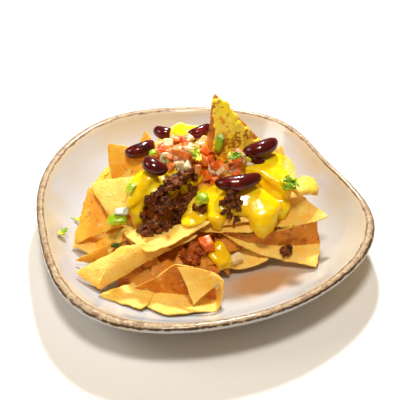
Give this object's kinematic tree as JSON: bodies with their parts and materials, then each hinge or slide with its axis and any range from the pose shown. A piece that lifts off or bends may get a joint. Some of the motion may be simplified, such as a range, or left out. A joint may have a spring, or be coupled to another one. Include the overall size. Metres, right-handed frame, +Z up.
{
  "type": "plate of nachos",
  "caption": "Heap of triangular tortilla chips on a wavy-rimmed stoneware plate, topped with melted cheese, minced beef, kidney beans and chopped vegetables.",
  "frame": {"origin": "middle of the bounding box, on the surface the plate stands on", "axes": "+Z up; +Y away from the viewer of the pictured side; +X to that viewer's right"},
  "size_m": [0.2296, 0.2326, 0.0981],
  "materials": {
    "plate_glaze": "glossy cream glaze with a speckled brown rim",
    "chip": "fried corn tortilla, matt",
    "cheese": "melted cheese, glossy",
    "beef": "browned minced beef, slightly oily",
    "bean": "cooked kidney bean, glossy",
    "pico": "chopped tomato and onion, moist",
    "onion": "raw onion, moist",
    "tomato": "cut tomato, moist",
    "green": "chopped green pepper, moist",
    "herb": "wilted coriander leaf"
  },
  "bodies": {
    "root": {"bean_back": "bean", "bean_back_left": "bean", "bean_front": "bean", "bean_left": "bean", "bean_left_end": "bean", "bean_right": "bean", "bean_right_low": "bean", "beef_crumb": "beef", "beef_front": "beef", "beef_main": "beef", "beef_middle": "beef", "beef_small": "beef", "cheese_apron": "cheese", "cheese_back": "cheese", "cheese_drip": "cheese", "cheese_left": "cheese", "cheese_peak": "cheese", "cheese_round": "cheese", "cheese_shelf": "cheese", "chip_back_left": "chip", "chip_back_tip": "chip", "chip_fold_under": "chip", "chip_front_cup": "chip", "chip_front_fold": "chip", "chip_heap": "chip", "chip_left_front": "chip", "chip_left_lower": "chip", "chip_left_shade": "chip", "chip_left_top": "chip", "chip_left_wall": "chip", "chip_low_front": "chip", "chip_peak": "chip", "chip_right_back": "chip", "chip_right_round": "chip", "chip_right_shelf": "chip", "chip_right_wall": "chip", "chip_scoop": "chip", "chip_scoop_under": "chip", "chip_shelf": "chip", "chip_shelf_low": "chip", "green_back": "green", "green_centre": "green", "green_left": "green", "green_low_left": "green", "green_middle": "green", "green_peak": "green", "green_plate": "green", "green_plate_long": "green", "green_right": "green", "green_top": "green", "herb_left": "herb", "onion_left": "onion", "onion_low": "onion", "pico_left": "pico", "pico_right": "pico", "plate": "plate_glaze", "tomato_front": "tomato"}
  },
  "joints": []
}
